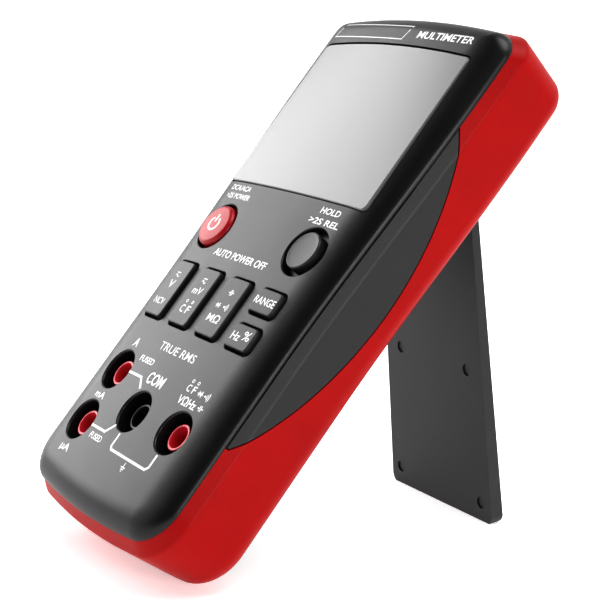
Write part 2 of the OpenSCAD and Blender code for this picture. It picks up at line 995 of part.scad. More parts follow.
// Round-headed screw with a cross recess, its head towards the back
module screw(at, seat_z, tip_z, head_r, head_h, shank_r) {
    slot_w = head_r / 3;
    slot_l = head_r * 1.2;
    difference() {
        union() {
            post(at, head_r, seat_z, seat_z + head_h);
            post(at, shank_r, tip_z, seat_z + head_h / 2);
        }
        block(at.x - slot_l / 2, at.x + slot_l / 2, at.y - slot_w / 2, at.y + slot_w / 2,
            seat_z + head_h / 2, seat_z + head_h + 1);
        block(at.x - slot_w / 2, at.x + slot_w / 2, at.y - slot_l / 2, at.y + slot_l / 2,
            seat_z + head_h / 2, seat_z + head_h + 1);
    }
}

module battery_door_screw() {
    color("#8d8f92")
        place()
            screw([0, door_screw_y], recess_z - 0.9, bay_roof_z + 4, screw_head_r, 0.85, screw_r);
}

module battery_cell(i) {
    x = (i - 1.5) * cell_pitch;
    nub_r = 1.9;
    nub_len = 0.8;
    up = i % 2 == 0;
    y = up ? bay_y1 - contact_t - 0.15 - cell_len : bay_y0 + contact_t + 0.15;
    color("#30506e")
        place()
            translate([x, y, -cell_z])
                rotate([-90, 0, 0])
                    union() {
                        translate([0, 0, up ? 0 : nub_len])
                            cylinder(r = cell_r, h = cell_len - nub_len);
                        cylinder(r = nub_r, h = up ? cell_len : nub_len + 1);
                    }
}

module battery_cell_1() {
    battery_cell(0);
}

module battery_cell_2() {
    battery_cell(1);
}

module battery_cell_3() {
    battery_cell(2);
}

module battery_cell_4() {
    battery_cell(3);
}

// Spring rings press on the flat end of each cell, plates meet the nubs
module battery_springs() {
    ring_r = 3.3;
    ring_step = 0.68;
    wire_r = 0.4;
    color("#c3c5c8")
        place()
            for (i = [0:3]) {
                x = (i - 1.5) * cell_pitch;
                end = i % 2 == 0 ? bay_y0 + 0.1 : bay_y1 - 0.1;
                dir = i % 2 == 0 ? 1 : -1;
                contact(x, end, dir);
                for (k = [0:5])
                    translate([x, end + dir * (contact_t + wire_r - 0.05 + ring_step * k), -cell_z])
                        rotate([90, 0, 0])
                            rotate_extrude($fn = 24)
                                translate([ring_r - 0.25 * k, 0])
                                    circle(r = wire_r, $fn = 16);
            }
}

module contact(x, end, dir) {
    inner = end + dir * contact_t;
    block(x - 4, x + 4, min(end, inner), max(end, inner), cell_z - 4, cell_z + 4);
}

module battery_plates() {
    color("#c3c5c8")
        place()
            for (i = [0:3]) {
                x = (i - 1.5) * cell_pitch;
                end = i % 2 == 0 ? bay_y1 - 0.1 : bay_y0 + 0.1;
                contact(x, end, i % 2 == 0 ? -1 : 1);
            }
}

// ---- fasteners ----

module case_screws() {
    color("#8d8f92")
        place()
            for (s = case_screw_at)
                screw(s, screw_seat_z, 8, screw_head_r, screw_head_h, screw_r);
}

module board_screws() {
    color("#8d8f92")
        place()
            for (s = board_screw_at)
                screw(s, board_z + board_t, board_z - 4, 2, 1.2, board_screw_r);
}

// ---- tilt stand ----

// Frame of the stand: +X down the stand from the hinge, +Y away from the meter's back when
// shut, swung open by the given angle. It is drawn in the meter's side plane.
module stand_frame(open) {
    translate([0, hinge_y, -hinge_z])
        rotate([open, 0, 0])
            rotate([180, 0, 0])
                children();
}

module stand_plate(half_grow, len_grow, t0, t1) {
    w0 = stand_half_w0 + half_grow;
    w1 = stand_half_w1 + half_grow;
    r = 4;
    translate([0, 0, t0])
        linear_extrude(t1 - t0)
            intersection() {
                polygon([[-w0, 0], [w0, 0], [w1, stand_len + len_grow], [-w1, stand_len + len_grow]]);
                union() {
                    translate([-60, -1])
                        square([120, stand_len + len_grow - r + 1]);
                    translate([-w1 + r, 0])
                        square([2 * (w1 - r), stand_len + len_grow]);
                    for (x = [-1, 1])
                        translate([x * (w1 - r), stand_len + len_grow - r])
                            circle(r = r);
                }
            }
}

// The rim gets deeper towards the foot
module rim_wedge() {
    rotate([90, 0, 90])
        translate([0, 0, -40])
            linear_extrude(80)
                polygon([
                    [-5, stand_n0 - 1],
                    [stand_len + 5, stand_n0 - 1],
                    [stand_len + 5, stand_n0 + rim_h1],
                    [-5, stand_n0 + rim_h0]
                ]);
}

module tilt_stand() {
    dimple_r = 1.9;
    dimple_at = [[17, stand_len - 48.9], [21, stand_len - 6.3]];
    color("#3c3c3e")
        place()
            difference() {
                stand_frame(stand_open)
                    difference() {
                        union() {
                            stand_plate(0, 0.6, stand_n0, stand_n0 + plate_t);
                            difference() {
                                intersection() {
                                    stand_plate(0, 0.6, stand_n0, stand_n0 + rim_h1);
                                    rim_wedge();
                                }
                                stand_plate(-rim_t, 0.6 - rim_t, stand_n0, stand_n0 + rim_h1 + 1);
                            }
                            rotate([0, 90, 0])
                                translate([0, 0, -stand_half_w0])
                                    cylinder(r = knuckle_r, h = 2 * stand_half_w0);
                        }
                        for (d = dimple_at)
                            for (x = [-1, 1])
                                translate([x * d.x, d.y, stand_n0 - 1])
                                    cylinder(r = dimple_r, h = 1.5);
                        translate([-50, 0, 0])
                            rotate([0, 90, 0])
                                cylinder(r = pin_r, h = 100);
                    }
                rest_cut();
            }
}

module stand_pin() {
    color("#a9abae")
        place()
            translate([-pin_half_len, hinge_y, -hinge_z])
                rotate([0, 90, 0])
                    cylinder(r = pin_r, h = 2 * pin_half_len);
}

front_case();
rear_case();
bumper();
grip(1);  // grip_left
grip(0);  // grip_right
lcd_window();
lcd_glass();
lcd_frame();
backlight_panel();
zebra_strip_lower();
zebra_strip_upper();
main_board();
input_board();
board_header();
meter_chip();
controller_chip();
key_switches();
buzzer();
jack_wells();
fuse_a();
fuse_ma();
fuse_clips();
current_shunt();
varistors();
ptc_resistor();
jack_collar(jack_a, "#b3202c");  // jack_collar_a
jack_collar(jack_ma, "#b3202c");  // jack_collar_ma
jack_collar(jack_com, "#1c1c1e");  // jack_collar_com
jack_collar(jack_v, "#b3202c");  // jack_collar_v
jack_sleeve(jack_a);  // jack_sleeve_a
jack_sleeve(jack_ma);  // jack_sleeve_ma
jack_sleeve(jack_com);  // jack_sleeve_com
jack_sleeve(jack_v);  // jack_sleeve_v
battery_door();
battery_door_screw();
battery_cell_1();
battery_cell_2();
battery_cell_3();
battery_cell_4();
battery_springs();
battery_plates();
case_screws();
board_screws();
power_button();
hold_button();
volts_button();
millivolts_button();
ohms_button();
range_button();
hertz_button();
plunger(power_at);  // power_plunger
plunger(hold_at);  // hold_plunger
plunger(volts_at);  // volts_plunger
plunger(millivolts_at);  // millivolts_plunger
plunger(ohms_at);  // ohms_plunger
plunger(range_at);  // range_plunger
plunger(hertz_at);  // hertz_plunger
tilt_stand();
stand_pin();
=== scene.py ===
"""Looks of a handheld digital multimeter that leans on its open tilt stand.

Shapes are made in the meter's own frame, in millimetres: +X to its right, +Y to its top end, +Z out
of its face, Y = 0 at its bottom end and Z = 0 on the face's centre line. The matrix METER leans them
back and sets them in the CAD frame, in metres.
"""

import json
import math

import bmesh
import bpy
from mathutils import Matrix, Vector
from mathutils.bvhtree import BVHTree


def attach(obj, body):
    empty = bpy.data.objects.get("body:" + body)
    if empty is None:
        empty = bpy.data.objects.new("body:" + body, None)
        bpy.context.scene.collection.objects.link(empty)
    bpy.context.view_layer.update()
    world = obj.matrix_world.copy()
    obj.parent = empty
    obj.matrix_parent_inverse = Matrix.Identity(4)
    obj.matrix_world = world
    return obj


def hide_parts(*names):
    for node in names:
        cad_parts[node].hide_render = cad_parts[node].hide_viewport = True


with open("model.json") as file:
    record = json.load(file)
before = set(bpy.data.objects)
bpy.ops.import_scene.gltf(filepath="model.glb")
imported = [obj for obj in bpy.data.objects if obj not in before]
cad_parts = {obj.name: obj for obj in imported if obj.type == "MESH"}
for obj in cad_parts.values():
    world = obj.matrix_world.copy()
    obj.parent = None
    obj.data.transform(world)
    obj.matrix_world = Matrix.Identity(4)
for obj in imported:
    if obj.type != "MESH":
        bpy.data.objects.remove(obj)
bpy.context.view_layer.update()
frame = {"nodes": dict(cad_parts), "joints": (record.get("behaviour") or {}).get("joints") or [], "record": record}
scene = bpy.context.scene
nodes = frame["nodes"]
joints = {j["name"]: j for j in frame["joints"]}

# ---- the meter's own frame ----

MM = 0.001
HINGE_Y = 148.25
HINGE_Z = -28.5
inward = Vector(joints["hold_press"]["axis"])
hinge_at = Vector(joints["stand_hinge"]["pos_m"])
LEAN = math.atan2(inward.y, -inward.z)
TURN = Matrix.Rotation(LEAN, 4, "X")
METER = (
    Matrix.Translation(hinge_at - TURN @ Vector((0, HINGE_Y * MM, HINGE_Z * MM)))
    @ TURN
    @ Matrix.Scale(MM, 4)
)
TO_METER = METER.inverted()

# ---- driving dimensions, as in the CAD model, in millimetres ----

BODY_LEN = 182.2
TOP_HALF_W = 45.3
LOW_HALF_W = 41.5
TAPER = (64, 164)
CORNER_R_TOP = 9.3
CORNER_R_LOW = 13.8
SAG_TOP = 2.7
SAG_LOW = 3.4
CROWN_R = 482
SEAM_Z = 5.1
CHAMFER_Z = 9.7
WALL_Z = 25.4
BACK_Z = 32.1
SIDE_DROP = 0.9
LINE_DROP = 1.1
WALL = 2.3
SEAM_IN = (1.9, 3.4, 2.9)
CASE_IN = (2.8, 5.6, 5.2)
BACK_IN = (9.1, 11.1, 11.1)
WALL_IN = (0, 1.6, 1.6)
ROLL_W = (11.4, 7, 8)
ROLL_POWER = 2
BACK_R = BACK_Z - WALL_Z
BACK_STEPS = 12
WALL_DROP = 0.9
SEAM_GAP = 0.06
SPLIT_Z = 15
LIP_Z = 27
GRIP_DEPTH = 1.5
GRIP_GAP = 0.35
GRIP_MID_Y = 91.6
GRIP_ARC_R = 98.9
GRIP_FLOOR_Z = 23
GRIP_Y = (37.6, 145.5)
LENS_TOP_Z = 2
GRIP_LIP = 0.3
FIT_GAP = 0.05

WINDOW_HALF_W = 35.8
WINDOW_Y = (111.6, 165)
WINDOW_BOW = 1.2
WINDOW_T = 1.5
WINDOW_CORNER_R = 1.6
WINDOW_GAP = 0.45
WINDOW_LEDGE = 1.4
WINDOW_EDGE = 0.3

PITCH = 16.3
KEY_W = 12.1
TALL_H = 20.5
SHORT_H = 8.7
KEYS_TOP_Y = 81.5
ROUND_Y = 95
ROUND_HOLE_R = 8
HOLD_CAP_R = 6.1
HOLD_PROUD = 0.9
POWER_CAP_R = 7.1
POWER_PROUD = 1.5
POWER_DOME = 0.25
POWER_DOME_R = 0.76
HOLD_DISH = 0.3
CAP_GAP = 0.65
CAP_PROUD = 1.2
FLANGE_Z = 3.4
FLANGE_T = 1
FLANGE_W = 1
STEM_R = 2.2
STEM_Z = 8.3
KEY_CORNER_R = 1.8
KEY_EDGE_R = 0.4
KEY_MOUTH_R = 0.45
ROUND_MOUTH_R = 0.5

JACK_PITCH = 22.7
JACK_Y = 33.8
JACK_SPLIT = 8.9
WELL_R = 6.45
WELL_Z = 19.5
COLLAR_R = 4.15
COLLAR_BORE_R = 3.05
COLLAR_MOUTH_R = 3.36
COLLAR_TOP_Z = 2.7
COLLAR_BASE_Z = -WELL_Z + 1.6
WELL_MOUTH_R = 0.7

STAND_EDGE_R = 0.35
DOOR_EDGE_R = 0.2

# Lines along the middle of the face and of the display, that their skins run in to.
FACE_SPINE_Y = (55, 128)
WINDOW_SPINE_Y = (125, 152)

# Height that is clear of the face, for the tops of cutting tools.
CLEAR_Z = 4

# Angles in degrees over which an edge is shaded sharp.
PLAIN_EDGE = 32
MOULDED_EDGE = 38
WINDOW_EDGE_ANGLE = 25
RUBBER_EDGE = 16

JACKS = {
    "a": (-JACK_PITCH, JACK_Y + JACK_SPLIT),
    "ma": (-JACK_PITCH, JACK_Y - JACK_SPLIT),
    "com": (0, JACK_Y),
    "v": (JACK_PITCH, JACK_Y),
}
TALL_Y = KEYS_TOP_Y - TALL_H / 2
KEYS = {
    "volts": (-1.5 * PITCH, TALL_Y, TALL_H),
    "millivolts": (-0.5 * PITCH, TALL_Y, TALL_H),
    "ohms": (0.5 * PITCH, TALL_Y, TALL_H),
    "range": (1.5 * PITCH, KEYS_TOP_Y - SHORT_H / 2, SHORT_H),
    "hertz": (1.5 * PITCH, KEYS_TOP_Y - TALL_H + SHORT_H / 2, SHORT_H),
}
ROUND_KEYS = {"power": (-1.5 * PITCH, ROUND_Y), "hold": (1.5 * PITCH, ROUND_Y)}


# ---- outline of the meter ----


def mix(a, b, t):
    return a + (b - a) * t


def ease(t):
    c = max(0.0, min(1.0, t))
    return c * c * (3 - 2 * c)


def spread(y):
    return ease((y - TAPER[0]) / (TAPER[1] - TAPER[0]))


def half_w(y):
    return LOW_HALF_W + (TOP_HALF_W - LOW_HALF_W) * spread(y)


def crown(x):
    return -x * x / (2 * CROWN_R)


def arc_points(cx, cy, r, a0, a1, n):
    angles = [math.radians(mix(a0, a1, i / n)) for i in range(n + 1)]
    return [(cx + r * math.cos(a), cy + r * math.sin(a)) for a in angles]


EDGE_STEPS = 16
CORNER_STEPS = 16
SIDE_STEPS = 64


def plain_half(inset):
    """Right half of the plain outline, from the bottom's middle round to the top's middle."""
    side, top, bottom = inset
    w = TOP_HALF_W - side
    y0, y1 = bottom, BODY_LEN - top
    rt = max(CORNER_R_TOP - side, 1)
    rb = max(CORNER_R_LOW - side, 1)
    points = [((w - rb) * i / EDGE_STEPS, y0) for i in range(EDGE_STEPS)]
    points += arc_points(w - rb, y0 + rb, rb, -90, 0, CORNER_STEPS)
    points += [(w, mix(y0 + rb, y1 - rt, i / SIDE_STEPS)) for i in range(1, SIDE_STEPS)]
    points += arc_points(w - rt, y1 - rt, rt, 0, 90, CORNER_STEPS)
    points += [((w - rt) * (1 - i / EDGE_STEPS), y1) for i in range(1, EDGE_STEPS + 1)]
    return points


def bowed(p, inset):
    """Bows the ends of the outline and spreads its sides towards the display."""
    x, y = p
    u = x / TOP_HALF_W
    v = (y - BODY_LEN / 2) / (BODY_LEN / 2)
    bow = -SAG_TOP * ease(2 * v - 1) if v > 0 else SAG_LOW * ease(-2 * v - 1)
    return x * (half_w(y) - inset[0]) / (TOP_HALF_W - inset[0]), y + bow * u * u


def full(half):
    return half + [(-p[0], *p[1:]) for p in half[-2:0:-1]]


def outline(inset):
    return full([bowed(p, inset) for p in plain_half(inset)])


def level(inset, z, share=0.0):
    return [(x, y, -z - share * LINE_DROP * spread(y)) for x, y in outline(inset)]


def seam_height(x, y, z):
    return -z - LINE_DROP * spread(y) - SIDE_DROP * (x / half_w(y)) ** 2


def seam_level(inset, z):
    return [(x, y, seam_height(x, y, z)) for x, y in outline(inset)]


def grown(inset, by):
    return tuple(v + by for v in inset)


def rolled(base, z, cut, steps):
    """Rings of the face's rolled edge, close together where it is steep."""
    rings = []
    for i in range(steps + 1):
        t = (i / steps) ** 1.7
        q = (1 - (1 - t) ** ROLL_POWER) ** (1 / ROLL_POWER)
        inset = tuple(b + (w - cut) * t for b, w in zip(base, ROLL_W))
        rings.append([(x, y, mix(seam_height(x, y, z), crown(x) - cut, q)) for x, y in outline(inset)])
    return rings


# ---- mesh making ----


def object_from(bm, name):
    mesh = bpy.data.meshes.new(name)
    bm.to_mesh(mesh)
    bm.free()
    obj = bpy.data.objects.new(name, mesh)
    scene.collection.objects.link(obj)
    return obj


def add_rings(bm, rings, cap_low=True, cap_top=True, closed=False):
    """Skins a list of rings of equal length, with flat caps or joined end to end."""
    rows = [[bm.verts.new(p) for p in ring] for ring in rings]
    n = len(rows[0])
    pairs = list(zip(rows, rows[1:]))
    if closed:
        pairs.append((rows[-1], rows[0]))
    for low, high in pairs:
        for i in range(n):
            j = (i + 1) % n
            bm.faces.new((low[i], low[j], high[j], high[i]))
    if cap_low and not closed:
        bm.faces.new(rows[0][::-1])
    if cap_top and not closed:
        bm.faces.new(rows[-1])
    return rows


def tidy(bm, merge=1e-4):
    bmesh.ops.remove_doubles(bm, verts=bm.verts, dist=merge)
    bmesh.ops.dissolve_degenerate(bm, edges=bm.edges, dist=merge)
    bmesh.ops.recalc_face_normals(bm, faces=bm.faces)


def ring_solid(name, rings, **kwargs):
    bm = bmesh.new()
    add_rings(bm, rings, **kwargs)
    tidy(bm)
    return object_from(bm, name)


def to_spine(ring, ends, steps, height):
    """Rings from an edge in to a line along the middle, that follow a height function."""
    rings = []
    for k in range(1, steps + 1):
        t = k / steps
        row = []
        for x, y, *_ in ring:
            px = x * (1 - t)
            py = mix(y, max(ends[0], min(ends[1], y)), t)
            row.append((px, py, height(px, py)))
        rings.append(row)
    return rings


def boolean(obj, tool, operation="DIFFERENCE"):
    """Applies a boolean to obj and removes the tool."""
    mod = obj.modifiers.new("cut", "BOOLEAN")
    mod.operation = operation
    mod.object = tool
    mod.solver = "MANIFOLD"
    evaluated(obj)
    bpy.data.objects.remove(tool)
    return obj


def join(objects, name):
    bm = bmesh.new()
    for obj in objects:
        bm.from_mesh(obj.data)
    for obj in objects:
        bpy.data.objects.remove(obj)
    return object_from(bm, name)


def shade(mesh, angle):
    """Smooth shading, with sharp edges above an angle in degrees."""
    bm = bmesh.new()
    bm.from_mesh(mesh)
    limit = math.radians(angle)
    for face in bm.faces:
        face.smooth = True
    for edge in bm.edges:
        edge.smooth = len(edge.link_faces) == 2 and edge.calc_face_angle(0) < limit
    bm.to_mesh(mesh)
    bm.free()


def evaluated(obj):
    """Applies an object's modifiers to its mesh."""
    bpy.context.view_layer.update()
    graph = bpy.context.evaluated_depsgraph_get()
    mesh = bpy.data.meshes.new_from_object(obj.evaluated_get(graph))
    obj.modifiers.clear()
    obj.data = mesh
    return obj


def piece(obj, name, material, body, replaces=(), sharp=PLAIN_EDGE):
    """Sets a finished shape in the CAD frame, names it, gives it its material, fixes it to a body and hides the
    CAD parts that it replaces.
    """
    obj.name = name
    obj.data.transform(METER)
    shade(obj.data, sharp)
    mod = obj.modifiers.new("normals", "WEIGHTED_NORMAL")
    mod.weight = 100
    mod.keep_sharp = True
    evaluated(obj)
    obj.data.name = name
    obj.data.materials.clear()
    obj.data.materials.append(material)
    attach(obj, body)
    if replaces:
        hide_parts(*replaces)
    return obj


def rounded_copy(node, width, segments=3, angle=32):
    """A copy of a CAD node with its flat faces joined and its sharp edges rounded."""
    source = nodes[node]
    bm = bmesh.new()
    bm.from_mesh(source.data)
    bm.transform(TO_METER)
    bmesh.ops.remove_doubles(bm, verts=bm.verts, dist=2e-3)
    bmesh.ops.dissolve_limit(bm, angle_limit=math.radians(0.6), verts=bm.verts, edges=bm.edges)
    obj = object_from(bm, node + "_rounded")
    mod = obj.modifiers.new("round", "BEVEL")
    mod.width = width
    mod.segments = segments
    mod.limit_method = "ANGLE"
    mod.angle_limit = math.radians(angle)
    mod.use_clamp_overlap = True
    return evaluated(obj)


# ---- materials ----


def plastic(
    name, color, rough=0.4, grain=0.05, grain_size=2200, mottle=0.06, wear=0.04, specular=0.5, coat=0.0
):
    """Moulded plastic or rubber.

    grain is the depth of a fine spark-eroded texture, mottle the share by which the color varies,
    and wear the amount by which the roughness varies.
    """
    mat = bpy.data.materials.new(name)
    mat.use_nodes = True
    tree = mat.node_tree
    bsdf = tree.nodes["Principled BSDF"]
    bsdf.inputs["Specular IOR Level"].default_value = specular
    bsdf.inputs["Coat Weight"].default_value = coat
    bsdf.inputs["Coat Roughness"].default_value = 0.12
    place = tree.nodes.new("ShaderNodeTexCoord")
    wide = tree.nodes.new("ShaderNodeTexNoise")
    wide.inputs["Scale"].default_value = 60
    wide.inputs["Detail"].default_value = 4
    fine = tree.nodes.new("ShaderNodeTexNoise")
    fine.inputs["Scale"].default_value = grain_size
    fine.inputs["Detail"].default_value = 2
    ramp = tree.nodes.new("ShaderNodeValToRGB")
    ramp.color_ramp.elements[0].position = 0.3
    ramp.color_ramp.elements[1].position = 0.7
    ramp.color_ramp.elements[0].color = (*[c * (1 - mottle) for c in color], 1)
    ramp.color_ramp.elements[1].color = (*[min(1, c * (1 + mottle)) for c in color], 1)
    gloss = tree.nodes.new("ShaderNodeMapRange")
    gloss.inputs["To Min"].default_value = rough - wear
    gloss.inputs["To Max"].default_value = rough + wear
    bump = tree.nodes.new("ShaderNodeBump")
    bump.inputs["Strength"].default_value = grain
    bump.inputs["Distance"].default_value = 0.0002
    link = tree.links.new
    link(place.outputs["Object"], wide.inputs["Vector"])
    link(place.outputs["Object"], fine.inputs["Vector"])
    link(wide.outputs["Fac"], ramp.inputs["Fac"])
    link(ramp.outputs["Color"], bsdf.inputs["Base Color"])
    link(wide.outputs["Fac"], gloss.inputs["Value"])
    link(gloss.outputs["Result"], bsdf.inputs["Roughness"])
    link(fine.outputs["Fac"], bump.inputs["Height"])
    link(bump.outputs["Normal"], bsdf.inputs["Normal"])
    return mat


def metal(name, color, rough=0.3):
    """Plated metal with fine brushing."""
    mat = plastic(name, color, rough=rough, grain=0.15, grain_size=900, mottle=0.1)
    mat.node_tree.nodes["Principled BSDF"].inputs["Metallic"].default_value = 1.0
    return mat


CASE_BLACK = (0.008, 0.008, 0.0085)
MATERIALS = {
    "case_black": plastic("case_black", CASE_BLACK, rough=0.36, grain=0.10),
    "bumper_red": plastic("bumper_red", (0.38, 0.001, 0.001), rough=0.42, grain=0.08, specular=0.2),
    "grip_grey": plastic("grip_grey", (0.024, 0.023, 0.023), rough=0.45, grain=0.12),
    "stand_black": plastic("stand_black", (0.030, 0.030, 0.031), rough=0.45, grain=0.12),
    "key_grey": plastic("key_grey", (0.020, 0.020, 0.021), rough=0.38, grain=0.10),
    "power_red": plastic("power_red", (0.42, 0.005, 0.014), rough=0.34, grain=0.05),
    "jack_red": plastic("jack_red", (0.72, 0.03, 0.06), rough=0.3, grain=0.05, coat=0.3),
    "jack_black": plastic("jack_black", (0.012, 0.012, 0.012), rough=0.32, grain=0.05),
    "legend_white": plastic("legend_white", (0.93, 0.93, 0.92), rough=0.5, grain=0.02),
    "light_white": plastic("light_white", (0.80, 0.81, 0.79), rough=0.5),
    "zebra_pink": plastic("zebra_pink", (0.66, 0.28, 0.34), rough=0.6),
    "board_green": plastic("board_green", (0.02, 0.15, 0.05), rough=0.35),
    "component_black": plastic("component_black", (0.02, 0.02, 0.02), rough=0.5),
    "fuse_ceramic": plastic("fuse_ceramic", (0.80, 0.77, 0.70), rough=0.4),
    "fuse_glass": plastic("fuse_glass", (0.70, 0.76, 0.76), rough=0.1, coat=0.5),
    "varistor_blue": plastic("varistor_blue", (0.04, 0.12, 0.32), rough=0.3),
    "ptc_brown": plastic("ptc_brown", (0.26, 0.10, 0.03), rough=0.3),
    "plunger_cream": plastic("plunger_cream", (0.68, 0.65, 0.56), rough=0.45),
    "cell_wrap": plastic("cell_wrap", (0.03, 0.08, 0.16), rough=0.25, coat=0.3),
    "lcd_glass": plastic("lcd_glass", (0.62, 0.64, 0.60), rough=0.25),
    "window_clear": plastic(
        "window_clear", (0.17, 0.17, 0.173), rough=0.27, grain=0.0, mottle=0.0, wear=0.0, specular=0.8
    ),
    "steel": metal("steel", (0.55, 0.56, 0.58)),
    "contact_brass": metal("contact_brass", (0.66, 0.46, 0.16)),
    "shunt_copper": metal("shunt_copper", (0.60, 0.30, 0.14)),
}
for part in frame["record"]["subparts"]:
    node_object = nodes[part["node"]]
    node_object.data.materials.clear()
    node_object.data.materials.append(MATERIALS[part["material_slot"]])

# ---- face ----


def round_rect(w, h, r, corner=8, edge=4):
    """Outline of a rectangle with round corners, centred, the same count of points at any size."""
    points = []
    for cx, cy, a0 in (
        (w / 2 - r, -h / 2 + r, -90),
        (w / 2 - r, h / 2 - r, 0),
        (-w / 2 + r, h / 2 - r, 90),
        (-w / 2 + r, -h / 2 + r, 180),
    ):
        points += arc_points(cx, cy, r, a0, a0 + 90, corner)
        a1 = math.radians(a0 + 90)
        start = Vector((cx + r * math.cos(a1), cy + r * math.sin(a1)))
        along = Vector((-math.sin(a1), math.cos(a1)))
        length = (h if abs(along.y) > 0.5 else w) - 2 * r
        points += [tuple(start + along * length * i / edge) for i in range(1, edge)]
    return points


def circle(r, n=72):
    return [(r * math.cos(2 * math.pi * i / n), r * math.sin(2 * math.pi * i / n)) for i in range(n)]


def window_outline(grow, n_edge=40, n_side=24):
    """Outline of the display window, its upper edge bowed."""
    w = WINDOW_HALF_W + grow
    y0, y1 = WINDOW_Y[0] - grow, WINDOW_Y[1] + grow
    r = WINDOW_CORNER_R
    points = [(mix(-w + r, w - r, i / n_edge), y0) for i in range(1, n_edge)]
    points += arc_points(w - r, y0 + r, r, -90, 0, 8)
    points += [(w, mix(y0 + r, y1 - r, i / n_side)) for i in range(1, n_side)]
    points += arc_points(w - r, y1 - r, r, 0, 90, 8)
    points += [(mix(w - r, -w + r, i / n_edge), y1) for i in range(1, n_edge)]
    points += arc_points(-w + r, y1 - r, r, 90, 180, 8)
    points += [(-w, mix(y1 - r, y0 + r, i / n_side)) for i in range(1, n_side)]
    points += arc_points(-w + r, y0 + r, r, 180, 270, 8)
    middle = (y0 + y1) / 2
    return [(x, y + (WINDOW_BOW * (1 - (x / w) ** 2) if y > middle else 0)) for x, y in points]


def mouth(shape, fillet, depth):
    """Cutter for a hole in the face whose mouth is rounded. shape(grow) gives its outline."""
    rings = [[(x, y, -depth) for x, y in shape(0)]]
    for i in range(6):
        a = math.radians(15 * i)
        grow = fillet * (1 - math.cos(a))
        rings.append([(x, y, crown(x) - fillet + fillet * math.sin(a)) for x, y in shape(grow)])
    rings.append([(x, y, CLEAR_Z) for x, y in shape(fillet * 0.85)])
    return rings


def at(shape, cx, cy):
    return lambda grow: [(x + cx, y + cy) for x, y in shape(grow)]


def key_shape(w, h, r):
    return lambda grow: round_rect(w + 2 * grow, h + 2 * grow, r + grow)


def round_shape(r):
    return lambda grow: circle(r + grow)


def face_outer(steps=22, spine_steps=26):
    rings = [level(CASE_IN, SPLIT_Z), seam_level(CASE_IN, SEAM_Z)]
    rings += rolled(SEAM_IN, SEAM_Z, 0, steps)
    rings += to_spine(rings[-1], FACE_SPINE_Y, spine_steps, lambda x, y: crown(x))
    return ring_solid("face_outer", rings, cap_top=False)


def face_inner():
    base = grown(CASE_IN, 2)
    rings = [level(base, SPLIT_Z + 1)]
    rings += rolled(base, SEAM_Z + WALL, WALL, 8)
    rings += to_spine(rings[-1], FACE_SPINE_Y, 8, lambda x, y: crown(x) - WALL)
    return ring_solid("face_inner", rings, cap_top=False)


outer = face_outer()
outer_bm = bmesh.new()
outer_bm.from_mesh(outer.data)
face_tree = BVHTree.FromBMesh(outer_bm)
outer_bm.free()


def face_height(x, y):
    hit = face_tree.ray_cast(Vector((x, y, 20)), Vector((0, 0, -1)))[0]
    return hit.z if hit else crown(x)


cutters = []
for name, (x, y, h) in KEYS.items():
    shape = at(key_shape(KEY_W, h, KEY_CORNER_R), x, y)
    cutters.append(ring_solid("hole", mouth(shape, KEY_MOUTH_R, 7)))
for x, y in ROUND_KEYS.values():
    shape = at(round_shape(ROUND_HOLE_R), x, y)
    cutters.append(ring_solid("hole", mouth(shape, ROUND_MOUTH_R, 7)))
for x, y in JACKS.values():
    shape = at(round_shape(WELL_R), x, y)
    cutters.append(ring_solid("hole", mouth(shape, WELL_MOUTH_R, 8)))

rebate = [[(x, y, crown(x) - WINDOW_T - 0.1) for x, y in window_outline(WINDOW_GAP)]]
rebate.append([(x, y, CLEAR_Z) for x, y in window_outline(WINDOW_GAP)])
aperture = [[(x, y, z) for x, y in window_outline(-WINDOW_LEDGE)] for z in (-8, 1)]

face = boolean(outer, face_inner())
face = boolean(face, join(cutters, "cutters"))
face = boolean(face, ring_solid("rebate", rebate))
face = boolean(face, ring_solid("aperture", aperture))
piece(
    face, "face_shell", MATERIALS["case_black"],
    "meter_body", ["front_case"], sharp=MOULDED_EDGE,
)

# ---- display window ----


def window_pane():
    rings = [[(x, y, crown(x) - WINDOW_T) for x, y in window_outline(0)]]
    rings.append([(x, y, crown(x) - WINDOW_EDGE) for x, y in window_outline(0)])
    rings.append([(x, y, crown(x)) for x, y in window_outline(-WINDOW_EDGE)])
    rings += to_spine(rings[-1], WINDOW_SPINE_Y, 16, lambda x, y: crown(x))
    return ring_solid("pane", rings, cap_top=False)


piece(
    window_pane(), "display_window", MATERIALS["window_clear"],
    "meter_body", ["lcd_window"], sharp=WINDOW_EDGE_ANGLE,
)

# ---- bumper and grips ----


def between(ring_a, ring_b, t):
    return [tuple(mix(u, v, t) for u, v in zip(p, q)) for p, q in zip(ring_a, ring_b)]


def skin_rings(cut):
    """Bumper's outer profile less a cut: seam, chamfer, rounded ridge, wall and rounded back."""
    wall = grown(WALL_IN, cut)
    seam_ring = seam_level(grown(SEAM_IN, cut), SEAM_Z + SEAM_GAP)
    ridge_ring = level((cut, cut, cut), CHAMFER_Z, 1)
    wall_ring = level(wall, WALL_Z, WALL_DROP)
    rings = [seam_ring]
    rings += [between(seam_ring, ridge_ring, t) for t in (0.3, 0.6, 0.8)]
    near = between(seam_ring, ridge_ring, 0.86)
    far = between(ridge_ring, wall_ring, 0.05)
    for t in (0, 0.25, 0.5, 0.75, 1):
        rings.append(between(between(near, ridge_ring, t), between(ridge_ring, far, t), t))
    rings += [between(ridge_ring, wall_ring, t) for t in (0.3, 0.55, 0.8)]
    for i in range(BACK_STEPS + 1):
        a = math.radians(90 * i / BACK_STEPS)
        inset = tuple(w + BACK_R * (1 - math.cos(a)) for w in wall)
        rings.append(level(inset, WALL_Z + BACK_R * math.sin(a), WALL_DROP * (1 - math.sin(a))))
    return rings


